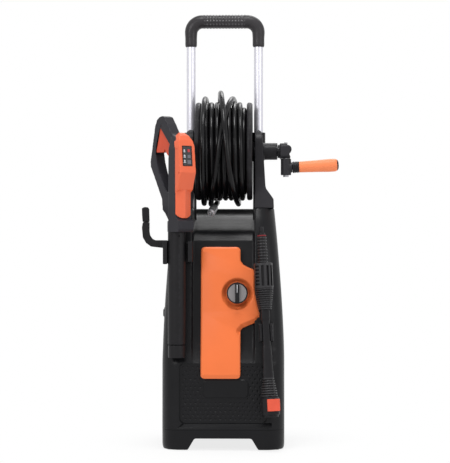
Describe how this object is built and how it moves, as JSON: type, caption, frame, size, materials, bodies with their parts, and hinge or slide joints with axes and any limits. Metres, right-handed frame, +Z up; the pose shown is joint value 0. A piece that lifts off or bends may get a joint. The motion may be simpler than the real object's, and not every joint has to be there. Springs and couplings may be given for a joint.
{
  "type": "pressure washer",
  "caption": "Upright electric pressure washer with a hose reel, folding crank, trigger gun, stored lance, rotary switch, two wheels and a pull-out handle.",
  "frame": {"origin": "on the ground, under the middle of the machine's box without its high-pressure hose", "axes": "+Z up, +X to the right seen from the front, +Y to the back"},
  "size_m": [0.4319, 0.376, 0.97],
  "materials": {
    "black_plastic": "fine moulded texture",
    "black_part": "fine moulded texture",
    "orange_plastic": "satin moulded plastic",
    "red_plastic": "satin moulded plastic",
    "gray_plastic": "satin moulded plastic",
    "hose_jacket": "smooth flexible jacket",
    "tyre": "moulded tread",
    "foot_rubber": "matt",
    "foam": "closed-cell foam",
    "silver_tube": "satin anodised",
    "plated_steel": "bright plated",
    "steel": "turned",
    "cast_pump": "die cast",
    "brass": "turned",
    "display": "clear dark window",
    "motor_iron": "laminated iron and copper winding"
  },
  "bodies": {
    "housing": {"front_cover": "black_plastic", "rear_cover": "black_plastic", "base_tray": "black_plastic", "rubber_feet": "foot_rubber", "left_arm": "black_part", "right_arm": "black_part", "switch_panel": "orange_plastic", "vent_grille": "black_part", "switch_body": "black_part", "cord_gland": "foot_rubber", "gun_holder": "black_part", "gun_cup": "black_part", "lance_clips": "black_part", "motor_can": "steel", "pump_case": "cast_pump", "pump_head": "cast_pump", "unloader_valve": "brass", "control_box": "black_part", "water_inlet": "brass", "swivel_housing": "brass", "supply_hose": "hose_jacket", "wheel_axle": "steel", "guide_tubes": "black_part", "housing_screws": "steel"},
    "hook_tip": {"cord_hook_tip": "black_part"},
    "rotor": {"motor_rotor": "motor_iron", "cooling_fan": "black_part"},
    "left_wheel": {"left_wheel": "black_part", "left_tyre": "tyre"},
    "right_wheel": {"right_wheel": "black_part", "right_tyre": "tyre"},
    "knob": {"power_knob": "black_part", "knob_inlays": "gray_plastic", "switch_shaft": "black_part"},
    "handle": {"handle_tube": "silver_tube", "handle_grip": "foam"},
    "left_button": {"left_lock_button": "orange_plastic"},
    "right_button": {"right_lock_button": "orange_plastic"},
    "reel": {"reel_drum": "black_part", "left_flange": "black_part", "right_flange": "black_part", "reel_axle": "steel", "hose_core": "hose_jacket", "hose_winding": "hose_jacket", "hose_outlet": "plated_steel", "hose_sleeve": "hose_jacket", "hose_fitting": "plated_steel", "crank_arm": "black_part"},
    "knuckle": {"crank_knuckle": "black_part", "crank_pin": "plated_steel"},
    "grip": {"crank_grip": "orange_plastic"},
    "gun": {"gun_body": "black_part", "gun_panel": "orange_plastic", "gun_window": "display", "gun_barrel": "black_part"},
    "trigger": {"gun_trigger": "red_plastic"},
    "catch": {"trigger_lock": "black_part"},
    "lance": {"lance_shaft": "black_part"},
    "collar": {"lance_collar": "black_part"},
    "nozzle": {"nozzle_head": "black_part"}
  },
  "joints": [
    {"name": "hook_tip_turn", "type": "hinge", "parent": "housing", "child": "hook_tip", "pos_m": [-0.20715, -0.12325, 0.51], "axis": [0, 0, 1], "range_deg": [0, 180]},
    {"name": "rotor_spin", "type": "hinge", "parent": "housing", "child": "rotor", "pos_m": [-0.03915, 0.01875, 0.33], "axis": [0, 0, 1], "continuous": true},
    {"name": "left_wheel_spin", "type": "hinge", "parent": "housing", "child": "left_wheel", "pos_m": [-0.15315, 0.10175, 0.086], "axis": [1, 0, 0], "continuous": true},
    {"name": "right_wheel_spin", "type": "hinge", "parent": "housing", "child": "right_wheel", "pos_m": [0.07485, 0.10175, 0.086], "axis": [1, 0, 0], "continuous": true},
    {"name": "knob_turn", "type": "hinge", "parent": "housing", "child": "knob", "pos_m": [-0.00815, -0.11325, 0.3425], "axis": [0, 1, 0], "range_deg": [0, 90]},
    {"name": "handle_slide", "type": "slide", "parent": "housing", "child": "handle", "axis": [0, 0, 1], "range_m": [-0.13, 0]},
    {"name": "left_button_press", "type": "slide", "parent": "housing", "child": "left_button", "axis": [0, -1, 0], "range_m": [0, 0.0025], "stiffness_N_per_m": 400},
    {"name": "right_button_press", "type": "slide", "parent": "housing", "child": "right_button", "axis": [0, -1, 0], "range_m": [0, 0.0025], "stiffness_N_per_m": 400},
    {"name": "reel_spin", "type": "hinge", "parent": "housing", "child": "reel", "pos_m": [-0.03915, -0.00325, 0.657], "axis": [1, 0, 0], "continuous": true},
    {"name": "crank_fold", "type": "hinge", "parent": "reel", "child": "knuckle", "pos_m": [0.09885, -0.05525, 0.6185], "axis": [0, 0, 1], "range_deg": [0, 90]},
    {"name": "grip_spin", "type": "hinge", "parent": "knuckle", "child": "grip", "pos_m": [0.09885, -0.05525, 0.6185], "axis": [0.9986, 0, 0.0523], "continuous": true},
    {"name": "gun_lift", "type": "slide", "parent": "housing", "child": "gun", "axis": [0, 0, 1], "range_m": [0, 0.26]},
    {"name": "trigger_pull", "type": "hinge", "parent": "gun", "child": "trigger", "pos_m": [-0.16486, -0.11261, 0.706], "axis": [0.766, 0.6428, 0], "range_deg": [0, 5], "stiffness_Nm_per_rad": 1.2, "springref_deg": -5.73},
    {"name": "catch_turn", "type": "hinge", "parent": "gun", "child": "catch", "pos_m": [-0.14596, -0.13513, 0.56], "axis": [0.766, 0.6428, 0], "range_deg": [-25, 0]},
    {"name": "lance_pull", "type": "slide", "parent": "housing", "child": "lance", "axis": [0, -1, 0], "range_m": [0, 0.12]},
    {"name": "collar_twist", "type": "hinge", "parent": "lance", "child": "collar", "pos_m": [0.05043, -0.13899, 0.35765], "axis": [0.0467, -0.088, -0.995], "range_deg": [0, 60]},
    {"name": "nozzle_twist", "type": "hinge", "parent": "lance", "child": "nozzle", "pos_m": [0.06258, -0.16188, 0.09894], "axis": [0.0467, -0.088, -0.995], "range_deg": [0, 60]}
  ]
}
